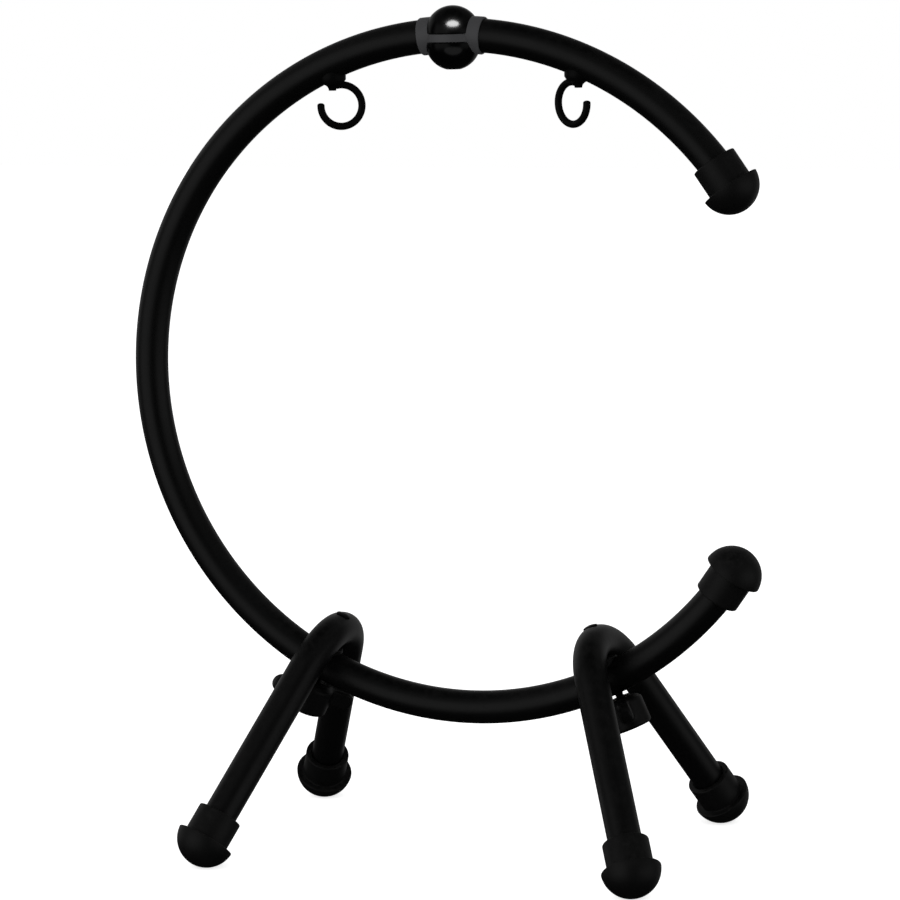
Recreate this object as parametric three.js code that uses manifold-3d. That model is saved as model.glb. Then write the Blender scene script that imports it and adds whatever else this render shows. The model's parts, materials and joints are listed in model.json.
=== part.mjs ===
// Table-top gong stand: a C-shaped ring of bent tube, carried by two hairpin leg frames that
// are drawn against it by winged knobs, with a ball on top and two open hooks for the gong's cord.
// Millimetres, +Z up. The ring lies in the XZ plane with its mouth towards +X; the front is -Y.

import * as THREE from 'three';
import { mergeVertices } from 'three/addons/utils/BufferGeometryUtils.js';
import Module from 'manifold-3d';

const wasm = await Module();
wasm.setup();

const { cos, sin, tan, sqrt, PI } = Math;
const radians = THREE.MathUtils.degToRad;

// Driving dimensions

// Tube stock of the ring and the legs
const TUBE_DIAMETER = 19.05;
const TUBE_WALL = 1.5;

// Ring: radius to the tube's centreline, and half the angle of its mouth
const RING_RADIUS = 192;
const MOUTH_HALF_DEGREES = 32.2;

// Leg frames: where they cross the ring, counted from its lowest point, how far each leans
// from upright, half the angle between its arms, and the level of its feet under the ring tube
const LEG_POSITION_DEGREES = 27.15;
const LEG_LEAN_DEGREES = 23.76;
const LEG_SPREAD_DEGREES = 30.8;
const LEG_BEND_RADIUS = 38.1;
const LEG_DROP = 93.4;

// Rubber caps on every tube end, and the flat that each foot stands on
const CAP_COLLAR_DIAMETER = 26;
const CAP_COLLAR_LENGTH = 16.5;
const CAP_DOME_RADIUS = 16.8;
const CAP_SHOULDER_DROP = 1;
const CAP_LIP_CHAMFER = 0.8;
const CAP_INSERTION = 8;
const FOOT_FLAT_DEPTH = 0.5;

// Saddle pads between the ring and the bends of the leg frames
const PAD_THICKNESS = 3.15;
const PAD_DIAMETER = 15;
const PAD_WRAP = 3.4;
const PAD_CROWN_SHARES = [1, 0.66, 0.33, 0];

// Clamp studs, washers and winged knobs
const STUD_DIAMETER = 5;
const STUD_REACH = 25.7;
const STUD_HEAD_DIAMETER = 8.5;
const STUD_HEAD_CROWN = 0.9;
const STUD_HEAD_WRAP = 1.2;
const CLAMP_OPENING = 1.8;
const WASHER_DIAMETER = 11;
const WASHER_THICKNESS = 0.8;
const KNOB_HEIGHT = 18.1;
const KNOB_HUB_DIAMETER = 23;
const KNOB_NECK_DIAMETER = 17;
const KNOB_NECK_LENGTH = 2.5;
const KNOB_END_ROUNDING = 2;
const KNOB_FLOOR = 2.5;
const WING_SPAN = 50;
const WING_HEIGHT = 11;
const WING_THICKNESS = 7;
const WING_DROP = 6.9;
const WING_ROUNDING = 2;
const INSERT_DIAMETER = 8;
const INSERT_LENGTH = 10;
const KNOB_TURN_LEFT_DEGREES = 37;
const KNOB_TURN_RIGHT_DEGREES = 108;

// The ball and the hooks sit a little off the ring's highest point, away from its mouth
const TOP_SHIFT_DEGREES = 0.5;

// Ball on top of the ring
const BALL_RADIUS = 15.6;
const BALL_DROP = 1.7;
const BALL_BAND_HEIGHT = 5.1;
const BALL_BAND_RADIUS = 15.3;
const BALL_SLEEVE_LENGTH = 37;
const BALL_SLEEVE_WALL = 0.8;
const BALL_SCREW_DIAMETER = 4;
const BALL_SCREW_HEAD_DIAMETER = 7;
const BALL_SCREW_HEAD_HEIGHT = 2.4;
const BALL_SCREW_RECESS = 1.2;

// Open wire hooks, which hang upright and are welded into the ring's inner wall, and how far
// each loop is turned from the ring's plane
const HOOK_POSITION_DEGREES = 22.47;
const HOOK_WIRE_DIAMETER = 4.2;
const HOOK_LOOP_DIAMETER = 27.8;
const HOOK_LOOP_DROP = 24.5;
const HOOK_LOOP_OFFSET = 5;
const HOOK_BEND_RADIUS = 2.6;
const HOOK_SHANK_TOP = 4;
const HOOK_TIP_DEGREES = 88;
const HOOK_TIP_ROUNDING = 0.9;
const HOOK_TIP_SHARE = 0.6;
const HOOK_TURN_DEGREES = 30;
const WELD_WIDTH = 12;
const WELD_FOOT_DROP = 15.9;
const WELD_HEIGHT = 3.5;

// Room left between separate pieces, and how far a cutter runs past what it cuts
const CLEARANCE = 0.3;
const OVERRUN = 4;

// Facet counts
const RING_STEPS = 44;
const BEND_STEPS = 12;
const TUBE_SIDES = 16;
const BORE_SIDES = 8;
const WIRE_SIDES = 8;
const LOOP_STEPS = 24;
const TURNED_SIDES = 20;
const DOME_STEPS = 5;
const TIGHT_BEND_STEPS = 4;
const CROWN_STEPS = 3;
const WING_CURVE_STEPS = 5;
const WING_EDGE_STEPS = 2;

// Sizes worked out from these
const tubeRadius = TUBE_DIAMETER / 2;
const boreRadius = tubeRadius - TUBE_WALL;
const mouthHalfAngle = radians(MOUTH_HALF_DEGREES);
const legSpread = radians(LEG_SPREAD_DEGREES);
const topAngle = PI / 2 + radians(TOP_SHIFT_DEGREES);
const apexHeight = TUBE_DIAMETER + PAD_THICKNESS;
const studHoleRadius = STUD_DIAMETER / 2 + CLEARANCE;
const sleeveRadius = tubeRadius + CLEARANCE + BALL_SLEEVE_WALL;

// Finishes

const FINISHES = {
  powder_coat: { color: 0x0b0b0c, roughness: 0.42, metalness: 0.0 },
  rubber: { color: 0x0e0e0e, roughness: 0.75, metalness: 0.0 },
  gloss_plastic: { color: 0x070708, roughness: 0.12, metalness: 0.0 },
  moulded_plastic: { color: 0x101011, roughness: 0.5, metalness: 0.0 },
  satin_band: { color: 0x46474a, roughness: 0.45, metalness: 0.35 },
  black_zinc: { color: 0x1a1b1d, roughness: 0.4, metalness: 0.7 },
  brass: { color: 0xb08d4c, roughness: 0.35, metalness: 0.9 },
};

// Solids

// A closed geometry as a solid, with its faces pointing out.
function solidOf(geometry) {
  const bare = geometry.clone();
  bare.deleteAttribute('normal');
  bare.deleteAttribute('uv');
  const welded = mergeVertices(bare);
  const points = welded.attributes.position.array;
  const corners = welded.index.array;
  const faces = [];
  let volume = 0;
  for (let i = 0; i < corners.length; i += 3) {
    const [a, b, c] = [corners[i], corners[i + 1], corners[i + 2]];
    if (a === b || b === c || c === a) continue;
    faces.push([a, b, c]);
    const [pa, pb, pc] = [a, b, c].map((n) => new THREE.Vector3().fromArray(points, 3 * n));
    volume += pa.dot(pb.cross(pc));
  }
  const triVerts = volume < 0 ? faces.map(([a, b, c]) => [a, c, b]) : faces;
  return new wasm.Manifold(new wasm.Mesh({
    numProp: 3,
    vertProperties: Float32Array.from(points),
    triVerts: Uint32Array.from(triVerts.flat()),
  }));
}

// A solid as a flat-shaded geometry.
function geometryOf(solid) {
  const mesh = solid.getMesh();
  const geometry = new THREE.BufferGeometry();
  geometry.setAttribute('position', new THREE.BufferAttribute(Float32Array.from(mesh.vertProperties), 3));
  geometry.setIndex(new THREE.BufferAttribute(Uint32Array.from(mesh.triVerts), 1));
  const shaded = geometry.toNonIndexed();
  shaded.computeVertexNormals();
  return shaded;
}

// A named piece with a material of its own.
function piece(name, solid, finish) {
  const mesh = new THREE.Mesh(geometryOf(solid), new THREE.MeshStandardMaterial(FINISHES[finish]));
  mesh.name = name;
  return mesh;
}

// An arc of a path in the XZ plane, with straight runs before and after it. Each station has
// its place and the direction of travel there.
function arcPath({ x = 0, z = 0, radius, from, to, steps, before = 0, after = 0 }) {
  const way = Math.sign(to - from);
  const path = [];
  for (let step = 0; step <= steps; step += 1) {
    const angle = from + (to - from) * (step / steps);
    path.push({
      x: x + radius * cos(angle),
      z: z + radius * sin(angle),
      dx: -way * sin(angle),
      dz: way * cos(angle),
    });
  }
  if (before > 0) path.unshift(moved(path[0], -before));
  if (after > 0) path.push(moved(path.at(-1), after));
  return path;
}

// A station moved along its own direction.
function moved(station, distance) {
  return { ...station, x: station.x + distance * station.dx, z: station.z + distance * station.dz };
}

// A closed round bar along a path. A station's thickness share narrows it there.
function barGeometry(path, radius, sides) {
  const positions = [];
  const indices = [];
  path.forEach(({ x, z, dx, dz, share = 1 }) => {
    for (let side = 0; side < sides; side += 1) {
      const turn = 2 * PI * (side / sides);
      const across = radius * share * cos(turn);
      positions.push(x - across * dz, radius * share * sin(turn), z + across * dx);
    }
  });
  const ring = (station, side) => station * sides + (side % sides);
  for (let station = 0; station + 1 < path.length; station += 1) {
    for (let side = 0; side < sides; side += 1) {
      const [a, b] = [ring(station, side), ring(station, side + 1)];
      const [c, d] = [ring(station + 1, side), ring(station + 1, side + 1)];
      indices.push(a, b, c, b, d, c);
    }
  }
  const last = path.length - 1;
  for (let side = 1; side + 1 < sides; side += 1) {
    indices.push(ring(0, 0), ring(0, side + 1), ring(0, side));
    indices.push(ring(last, 0), ring(last, side), ring(last, side + 1));
  }
  const geometry = new THREE.BufferGeometry();
  geometry.setAttribute('position', new THREE.Float32BufferAttribute(positions, 3));
  geometry.setIndex(indices);
  return geometry;
}

// A turned form about the Z axis, from its profile of [radius, height] points.
function turnedGeometry(profile, sides = TURNED_SIDES) {
  const points = profile.map(([radius, height]) => new THREE.Vector2(radius, height));
  return new THREE.LatheGeometry(points, sides).rotateX(PI / 2);
}

// A plain round rod along the Z axis between two heights.
function rodGeometry(radius, low, high, sides = WIRE_SIDES) {
  return turnedGeometry([[0, low], [radius, low], [radius, high], [0, high]], sides);
}

// Points of a quarter ellipse that runs from its widest radius to the axis.
function quarterRound(radius, base, height, steps) {
  const points = [];
  for (let step = 0; step <= steps; step += 1) {
    const angle = (PI / 2) * (step / steps);
    points.push([step === steps ? 0 : radius * cos(angle), base + height * sin(angle)]);
  }
  return points;
}

// A place: a position, turned about Y so that its -Z looks the given way round, and then
// about its own X.
function place(x, z, turnY, y = 0, turnX = 0) {
  const turn = new THREE.Matrix4().makeRotationY(turnY);
  const tilt = new THREE.Matrix4().makeRotationX(turnX);
  return new THREE.Matrix4().makeTranslation(x, y, z).multiply(turn).multiply(tilt);
}

// A group that stands at a place.
function groupAt(matrix, ...children) {
  const group = new THREE.Group();
  matrix.decompose(group.position, group.quaternion, group.scale);
  group.add(...children);
  return group;
}

// A geometry that is given in one place, as seen from another.
function seenFrom(matrix, geometry, own = new THREE.Matrix4()) {
  return geometry.clone().applyMatrix4(matrix.clone().invert().multiply(own));
}

// Places on the stand

// The crossing of a leg frame with the ring: -Z runs down the middle of the frame.
function legPlace(side) {
  const angle = radians(LEG_POSITION_DEGREES);
  const lean = -side * radians(LEG_LEAN_DEGREES);
  return place(side * RING_RADIUS * sin(angle), -RING_RADIUS * cos(angle), lean);
}

// The angle of a hook on the ring, and its root there: -Z runs straight down its shank.
function hookAngle(side) {
  return topAngle - side * radians(HOOK_POSITION_DEGREES);
}

function hookPlace(side) {
  return place(RING_RADIUS * cos(hookAngle(side)), RING_RADIUS * sin(hookAngle(side)), 0);
}

// The middle of the ball: +Z runs out from the ring's middle.
function ballPlace() {
  const radius = RING_RADIUS - BALL_DROP;
  return place(radius * cos(topAngle), radius * sin(topAngle), PI / 2 - topAngle);
}

// The end of the ring: -Z runs out of the tube's end, from the centre of the cap's dome.
function ringEndPlace(side) {
  const angle = side * (mouthHalfAngle + CAP_INSERTION / RING_RADIUS);
  const turn = side > 0 ? -angle : PI - angle;
  return place(RING_RADIUS * cos(angle), RING_RADIUS * sin(angle), turn);
}

// The foot of a leg arm, inside its frame: -Z runs out of the arm's end, from the dome's centre.
function footPlace(side) {
  return place(0, -LEG_DROP, 0, side * armReach, side * legSpread);
}

// Leg frame outline: the bend's centre, where its arms leave it, and how long they are
const bendCentreHeight = apexHeight - LEG_BEND_RADIUS;
const armTopHeight = bendCentreHeight + LEG_BEND_RADIUS * sin(legSpread);
const armTopReach = LEG_BEND_RADIUS * cos(legSpread);
const armReach = armTopReach + (armTopHeight + LEG_DROP) * tan(legSpread);
const armLength = (armTopHeight + LEG_DROP) / cos(legSpread) + CAP_INSERTION;

// Paths

function ringPath(overrun = 0) {
  return arcPath({
    radius: RING_RADIUS,
    from: mouthHalfAngle,
    to: 2 * PI - mouthHalfAngle,
    steps: RING_STEPS,
    before: overrun,
    after: overrun,
  });
}

// A bar along the whole ring, as seen from a place on it.
function ringBar(matrix, radius, overrun = 0) {
  return solidOf(seenFrom(matrix, barGeometry(ringPath(overrun), radius, TUBE_SIDES)));
}

function hairpinPath(overrun = 0) {
  return arcPath({
    z: bendCentreHeight,
    radius: LEG_BEND_RADIUS,
    from: legSpread,
    to: PI - legSpread,
    steps: BEND_STEPS,
    before: armLength + overrun,
    after: armLength + overrun,
  });
}

// The hairpin stands across the ring.
function hairpinGeometry(radius, sides, overrun = 0) {
  return barGeometry(hairpinPath(overrun), radius, sides).rotateZ(PI / 2);
}

// The hook's wire: down the shank, round a tight bend, and round the loop to its tip.
function hookPath() {
  const loopRadius = (HOOK_LOOP_DIAMETER - HOOK_WIRE_DIAMETER) / 2;
  const reach = loopRadius + HOOK_BEND_RADIUS;
  const bendAside = HOOK_BEND_RADIUS - HOOK_LOOP_OFFSET;
  const bendZ = -HOOK_LOOP_DROP + sqrt(reach * reach - bendAside * bendAside);
  const joinAngle = Math.acos(bendAside / reach);
  const bend = arcPath({
    x: HOOK_BEND_RADIUS,
    z: bendZ,
    radius: HOOK_BEND_RADIUS,
    from: PI,
    to: PI + joinAngle,
    steps: TIGHT_BEND_STEPS,
    before: -HOOK_SHANK_TOP - bendZ,
  });
  const loop = arcPath({
    x: HOOK_LOOP_OFFSET,
    z: -HOOK_LOOP_DROP,
    radius: loopRadius,
    from: joinAngle,
    to: PI / 2 + radians(HOOK_TIP_DEGREES) - 2 * PI,
    steps: LOOP_STEPS,
  });
  const tip = { ...moved(loop.at(-1), HOOK_TIP_ROUNDING), share: HOOK_TIP_SHARE };
  return [...bend, ...loop.slice(1), tip];
}

// Ring

function ringTube() {
  const drilled = [
    ...[-1, 1].map((side) => rodGeometry(studHoleRadius, -TUBE_DIAMETER, TUBE_DIAMETER)
      .applyMatrix4(legPlace(side))),
    ...[-1, 1].map((side) => rodGeometry(HOOK_WIRE_DIAMETER / 2 + CLEARANCE, -TUBE_DIAMETER, 0)
      .applyMatrix4(hookPlace(side))),
    rodGeometry(BALL_SCREW_DIAMETER / 2 + CLEARANCE, -TUBE_DIAMETER, TUBE_DIAMETER)
      .applyMatrix4(ballPlace()),
  ];
  let tube = solidOf(barGeometry(ringPath(), tubeRadius, TUBE_SIDES));
  tube = tube.subtract(solidOf(barGeometry(ringPath(OVERRUN), boreRadius, BORE_SIDES)));
  drilled.forEach((hole) => {
    tube = tube.subtract(solidOf(hole));
  });
  return tube;
}

// Caps

// A domed rubber cap without its bore: dome towards -Z, collar towards +Z. The dome is a
// little less than half a ball, and ends in a flat shoulder.
function capBlank() {
  const collar = CAP_COLLAR_DIAMETER / 2;
  const lip = CAP_COLLAR_LENGTH - CAP_SHOULDER_DROP;
  const start = Math.asin(CAP_SHOULDER_DROP / CAP_DOME_RADIUS);
  const dome = [];
  for (let step = 0; step <= DOME_STEPS; step += 1) {
    const angle = PI / 2 + (start - PI / 2) * (step / DOME_STEPS);
    dome.push([step === 0 ? 0 : CAP_DOME_RADIUS * cos(angle), -CAP_DOME_RADIUS * sin(angle)]);
  }
  return solidOf(turnedGeometry([
    ...dome,
    [collar, -CAP_SHOULDER_DROP],
    [collar, lip - CAP_LIP_CHAMFER],
    [collar - CAP_LIP_CHAMFER, lip],
    [0, lip],
  ]));
}

// The cap of a ring end, bored along the ring's curve and square to the tube's end.
function ringEndCap(side) {
  return capBlank().subtract(ringBar(ringEndPlace(side), tubeRadius + CLEARANCE, CLEARANCE));
}

// A foot, bored straight and cut flat where it stands.
function footCap(legSide, armSide) {
  const leg = legPlace(legSide);
  const foot = leg.clone().multiply(footPlace(armSide));
  const centre = new THREE.Vector3().setFromMatrixPosition(foot);
  const floor = centre.z - CAP_DOME_RADIUS + FOOT_FLAT_DEPTH;
  const ground = new THREE.BoxGeometry(CAP_COLLAR_DIAMETER, CAP_COLLAR_DIAMETER, OVERRUN);
  ground.translate(centre.x, centre.y, floor - OVERRUN / 2);
  const boreFloor = -CAP_INSERTION - CLEARANCE;
  const bore = rodGeometry(tubeRadius + CLEARANCE, boreFloor, CAP_COLLAR_LENGTH, TUBE_SIDES);
  return capBlank().subtract(solidOf(bore)).subtract(solidOf(seenFrom(foot, ground)));
}

// Leg frames

function legTube() {
  const studHole = rodGeometry(studHoleRadius, 0, apexHeight + TUBE_DIAMETER);
  return solidOf(hairpinGeometry(tubeRadius, TUBE_SIDES))
    .subtract(solidOf(hairpinGeometry(boreRadius, BORE_SIDES, OVERRUN)))
    .subtract(solidOf(studHole));
}

// The pad fits the ring's back and is domed on top, so that the bend can turn on it.
function saddlePad(legSide) {
  const bendInside = LEG_BEND_RADIUS - tubeRadius;
  const padRadius = PAD_DIAMETER / 2;
  const crest = apexHeight - tubeRadius - CLEARANCE;
  const crown = PAD_CROWN_SHARES.map((share) => {
    const radius = padRadius * share;
    return [radius, crest - bendInside + sqrt(bendInside * bendInside - radius * radius)];
  });
  const base = tubeRadius - PAD_WRAP;
  const blank = solidOf(turnedGeometry([[0, base], [padRadius, base], ...crown]));
  return blank
    .subtract(ringBar(legPlace(legSide), tubeRadius + CLEARANCE))
    .subtract(solidOf(rodGeometry(studHoleRadius, 0, apexHeight)));
}

// The stud's low round head sits on top of the bend and is hollowed to fit it.
function clampStud() {
  const rim = apexHeight + tubeRadius;
  const headRadius = STUD_HEAD_DIAMETER / 2;
  const underside = rim - STUD_HEAD_WRAP;
  const crown = quarterRound(headRadius, rim, STUD_HEAD_CROWN, CROWN_STEPS);
  const head = solidOf(turnedGeometry([[0, underside], [headRadius, underside], ...crown]))
    .subtract(solidOf(hairpinGeometry(tubeRadius + CLEARANCE, TUBE_SIDES)));
  const shank = rodGeometry(STUD_DIAMETER / 2, -STUD_REACH, rim + STUD_HEAD_CROWN / 2);
  return head.add(solidOf(shank));
}

const washerTop = -tubeRadius - CLAMP_OPENING;
const knobTop = washerTop - WASHER_THICKNESS - CLEARANCE;

function clampWasher() {
  const low = washerTop - WASHER_THICKNESS;
  return solidOf(turnedGeometry([
    [studHoleRadius, low],
    [WASHER_DIAMETER / 2, low],
    [WASHER_DIAMETER / 2, washerTop],
    [studHoleRadius, washerTop],
    [studHoleRadius, low],
  ]));
}

// A round hub with a blind bore, and two rounded wings.
function clampKnob() {
  const hub = KNOB_HUB_DIAMETER / 2;
  const endBase = -KNOB_HEIGHT + KNOB_END_ROUNDING;
  const endEdge = quarterRound(KNOB_END_ROUNDING, endBase, -KNOB_END_ROUNDING, CROWN_STEPS)
    .map(([radius, height]) => [hub - KNOB_END_ROUNDING + radius, height]);
  const insertBore = INSERT_DIAMETER / 2 + CLEARANCE;
  const insertFloor = -INSERT_LENGTH - CLEARANCE;
  const boreFloor = -KNOB_HEIGHT + KNOB_FLOOR;
  const body = turnedGeometry([
    [0, boreFloor],
    [studHoleRadius, boreFloor],
    [studHoleRadius, insertFloor],
    [insertBore, insertFloor],
    [insertBore, 0],
    [KNOB_NECK_DIAMETER / 2, 0],
    [hub, -KNOB_NECK_LENGTH],
    ...endEdge,
    [0, -KNOB_HEIGHT],
  ]);
  const outline = new THREE.Shape();
  const round = WING_HEIGHT / 2 - WING_ROUNDING;
  const reach = WING_SPAN / 2 - WING_HEIGHT / 2;
  outline.absarc(reach, 0, round, -PI / 2, PI / 2, false);
  outline.absarc(-reach, 0, round, PI / 2, 3 * PI / 2, false);
  const wings = new THREE.ExtrudeGeometry(outline, {
    depth: WING_THICKNESS - 2 * WING_ROUNDING,
    bevelThickness: WING_ROUNDING,
    bevelSize: WING_ROUNDING,
    bevelSegments: WING_EDGE_STEPS,
    curveSegments: WING_CURVE_STEPS,
  });
  wings.translate(0, 0, WING_ROUNDING - WING_THICKNESS / 2);
  wings.rotateX(PI / 2).translate(0, 0, -WING_DROP);
  const hollow = solidOf(rodGeometry(insertBore, insertFloor, 0, TURNED_SIDES))
    .add(solidOf(rodGeometry(studHoleRadius, boreFloor, 0, TURNED_SIDES)));
  return solidOf(body).add(solidOf(wings).subtract(hollow));
}

// The threaded insert in the knob's mouth.
function clampInsert() {
  return solidOf(turnedGeometry([
    [studHoleRadius, -INSERT_LENGTH],
    [INSERT_DIAMETER / 2, -INSERT_LENGTH],
    [INSERT_DIAMETER / 2, 0],
    [studHoleRadius, 0],
    [studHoleRadius, -INSERT_LENGTH],
  ], BEND_STEPS));
}

// Ball

// A band round the ball's middle, and a sleeve along the ring's curve.
function ballCore() {
  const disc = rodGeometry(
    BALL_BAND_RADIUS,
    -BALL_BAND_HEIGHT / 2 + CLEARANCE,
    BALL_BAND_HEIGHT / 2 - CLEARANCE,
    TURNED_SIDES,
  );
  const length = new THREE.BoxGeometry(BALL_SLEEVE_LENGTH, 2 * BALL_RADIUS, 2 * BALL_RADIUS);
  return ringBar(ballPlace(), sleeveRadius)
    .intersect(solidOf(length))
    .add(solidOf(disc))
    .subtract(ringBar(ballPlace(), tubeRadius + CLEARANCE))
    .subtract(solidOf(rodGeometry(BALL_SCREW_DIAMETER / 2 + CLEARANCE, -BALL_RADIUS, BALL_RADIUS)));
}

// Half of the ball, notched for the sleeve and drilled for the screw.
function ballDome(side) {
  const base = side * BALL_BAND_HEIGHT / 2;
  const profile = [[0, base], ...quarterRound(BALL_RADIUS, base, side * BALL_RADIUS, DOME_STEPS)];
  const ordered = side > 0 ? profile : profile.reverse();
  return solidOf(turnedGeometry(ordered))
    .subtract(ringBar(ballPlace(), sleeveRadius + CLEARANCE))
    .subtract(solidOf(ballScrewHole(side)));
}

const screwHeadFloor = -BALL_BAND_HEIGHT / 2 - BALL_RADIUS + BALL_SCREW_RECESS;
const screwTop = sleeveRadius + CLEARANCE + (BALL_RADIUS + BALL_BAND_HEIGHT / 2 - sleeveRadius) / 2;

// A blind hole in the upper half; a through hole with a recess for the head in the lower one.
function ballScrewHole(side) {
  const hole = BALL_SCREW_DIAMETER / 2 + CLEARANCE;
  if (side > 0) return rodGeometry(hole, 0, screwTop + CLEARANCE);
  const head = BALL_SCREW_HEAD_DIAMETER / 2 + CLEARANCE;
  const seat = screwHeadFloor + BALL_SCREW_HEAD_HEIGHT + CLEARANCE;
  const mouth = screwHeadFloor - OVERRUN;
  const profile = [[0, mouth], [head, mouth], [head, seat], [hole, seat], [hole, 0], [0, 0]];
  return turnedGeometry(profile, WIRE_SIDES);
}

function ballScrew() {
  const head = BALL_SCREW_HEAD_DIAMETER / 2;
  const seat = screwHeadFloor + BALL_SCREW_HEAD_HEIGHT;
  const shank = BALL_SCREW_DIAMETER / 2;
  return solidOf(turnedGeometry([
    [0, screwHeadFloor],
    [head, screwHeadFloor],
    [head, seat],
    [shank, seat],
    [shank, screwTop],
    [0, screwTop],
  ], WIRE_SIDES));
}

// Hooks

// The bent wire with the fillet weld that joins it to the ring; the weld is hollowed to the tube.
function hook(side) {
  const wire = HOOK_WIRE_DIAMETER / 2;
  const flare = WELD_WIDTH / 2 - wire;
  const fillet = [];
  for (let step = 0; step <= DOME_STEPS; step += 1) {
    const angle = (PI / 2) * (step / DOME_STEPS);
    fillet.push([wire + flare * (1 - cos(angle)), -WELD_FOOT_DROP + WELD_HEIGHT * sin(angle)]);
  }
  fillet.unshift([0, -WELD_FOOT_DROP]);
  const weld = turnedGeometry([...fillet, [WELD_WIDTH / 2, 0], [0, 0]], BEND_STEPS);
  const bent = barGeometry(hookPath(), wire, WIRE_SIDES).rotateZ(hookTurn(side));
  return solidOf(weld)
    .subtract(ringBar(hookPlace(side), tubeRadius + CLEARANCE))
    .add(solidOf(bent));
}

// Each loop runs inwards from its shank, turned the same way to the back.
function hookTurn(side) {
  const turn = radians(HOOK_TURN_DEGREES);
  return side < 0 ? turn : PI - turn;
}

// Assembly

function legGroup(side, name) {
  const knobTurn = radians(side < 0 ? KNOB_TURN_LEFT_DEGREES : KNOB_TURN_RIGHT_DEGREES);
  const knob = groupAt(
    new THREE.Matrix4().makeTranslation(0, 0, knobTop).multiply(new THREE.Matrix4().makeRotationZ(knobTurn)),
    piece(`clamp_knob_${name}`, clampKnob(), 'moulded_plastic'),
    piece(`clamp_insert_${name}`, clampInsert(), 'brass'),
  );
  const feet = [[-1, 'front'], [1, 'back']].map(([armSide, armName]) => groupAt(
    footPlace(armSide),
    piece(`foot_cap_${armName}_${name}`, footCap(side, armSide), 'rubber'),
  ));
  return groupAt(
    legPlace(side),
    piece(`leg_tube_${name}`, legTube(), 'powder_coat'),
    piece(`saddle_pad_${name}`, saddlePad(side), 'rubber'),
    piece(`clamp_stud_${name}`, clampStud(), 'black_zinc'),
    piece(`clamp_washer_${name}`, clampWasher(), 'black_zinc'),
    knob,
    ...feet,
  );
}

function ballGroup() {
  return groupAt(
    ballPlace(),
    piece('ball_core', ballCore(), 'satin_band'),
    piece('ball_dome_upper', ballDome(1), 'gloss_plastic'),
    piece('ball_dome_lower', ballDome(-1), 'gloss_plastic'),
    piece('ball_screw', ballScrew(), 'black_zinc'),
  );
}

const stand = new THREE.Group();
stand.add(
  piece('ring_tube', ringTube(), 'powder_coat'),
  groupAt(ringEndPlace(1), piece('ring_end_cap_upper', ringEndCap(1), 'rubber')),
  groupAt(ringEndPlace(-1), piece('ring_end_cap_lower', ringEndCap(-1), 'rubber')),
  ballGroup(),
  groupAt(hookPlace(-1), piece('hook_left', hook(-1), 'powder_coat')),
  groupAt(hookPlace(1), piece('hook_right', hook(1), 'powder_coat')),
  legGroup(-1, 'left'),
  legGroup(1, 'right'),
);

// The origin is on the floor, under the middle of the stand.
stand.updateMatrixWorld(true);
const bounds = new THREE.Box3().setFromObject(stand, true);
const middle = bounds.getCenter(new THREE.Vector3());
stand.position.set(-middle.x, -middle.y, -bounds.min.z);

export default stand;
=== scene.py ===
import json
import math

import bpy
import numpy as np
from mathutils import Matrix, Vector


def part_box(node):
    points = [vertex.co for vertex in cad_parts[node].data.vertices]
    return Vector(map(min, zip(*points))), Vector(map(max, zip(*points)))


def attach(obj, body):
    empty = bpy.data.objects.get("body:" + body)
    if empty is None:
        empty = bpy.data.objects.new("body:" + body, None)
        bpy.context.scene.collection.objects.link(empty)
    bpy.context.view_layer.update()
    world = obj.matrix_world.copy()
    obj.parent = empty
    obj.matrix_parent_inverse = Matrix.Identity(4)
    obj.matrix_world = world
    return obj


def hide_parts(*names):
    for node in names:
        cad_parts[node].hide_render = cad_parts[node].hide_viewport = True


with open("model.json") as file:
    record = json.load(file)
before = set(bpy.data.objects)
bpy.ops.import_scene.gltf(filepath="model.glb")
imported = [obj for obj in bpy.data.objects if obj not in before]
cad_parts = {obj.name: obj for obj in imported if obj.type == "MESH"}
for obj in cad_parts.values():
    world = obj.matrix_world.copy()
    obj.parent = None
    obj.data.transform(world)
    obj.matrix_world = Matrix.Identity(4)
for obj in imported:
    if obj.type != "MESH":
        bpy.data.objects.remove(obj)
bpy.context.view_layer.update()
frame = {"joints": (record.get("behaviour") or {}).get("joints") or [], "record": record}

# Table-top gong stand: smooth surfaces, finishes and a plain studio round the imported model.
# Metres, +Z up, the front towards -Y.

MM = 0.001
joints = {joint["name"]: joint for joint in frame["joints"]}
mounts = {mount["name"]: np.array(mount["pos_m"]) for mount in frame["record"]["mounts"]}

SIDES = ("left", "right")
ARMS = ("front", "back")
X, Y, Z = np.eye(3)

# Tube stock and ring
TUBE_RADIUS = 9.525 * MM
RING_RADIUS = 192 * MM
MOUTH_HALF_ANGLE = math.radians(32.2)
CLEARANCE = 0.3 * MM

# Leg frames
LEG_SPREAD = math.radians(30.8)
LEG_BEND_RADIUS = 38.1 * MM
LEG_DROP = 93.4 * MM
PAD_THICKNESS = 3.15 * MM
PAD_RADIUS = 7.5 * MM
PAD_WRAP = 3.4 * MM
PAD_EDGE_SHARES = np.array([0.94, 0.98, 1])
PAD_EDGE_EASE = np.array([0, 0.12, 0.4]) * MM

# Rubber caps
CAP_COLLAR_RADIUS = 13 * MM
CAP_COLLAR_LENGTH = 16.5 * MM
CAP_DOME_RADIUS = 16.8 * MM
CAP_SHOULDER_DROP = 1 * MM
CAP_LIP_SOFTNESS = 0.9 * MM
CAP_RIM_SOFTNESS = 0.9 * MM
CAP_STEP_SOFTNESS = 0.7 * MM
CAP_BORE_SOFTNESS = 0.4 * MM
CAP_INSERTION = 8 * MM
FOOT_FLAT_DEPTH = 0.5 * MM

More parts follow.
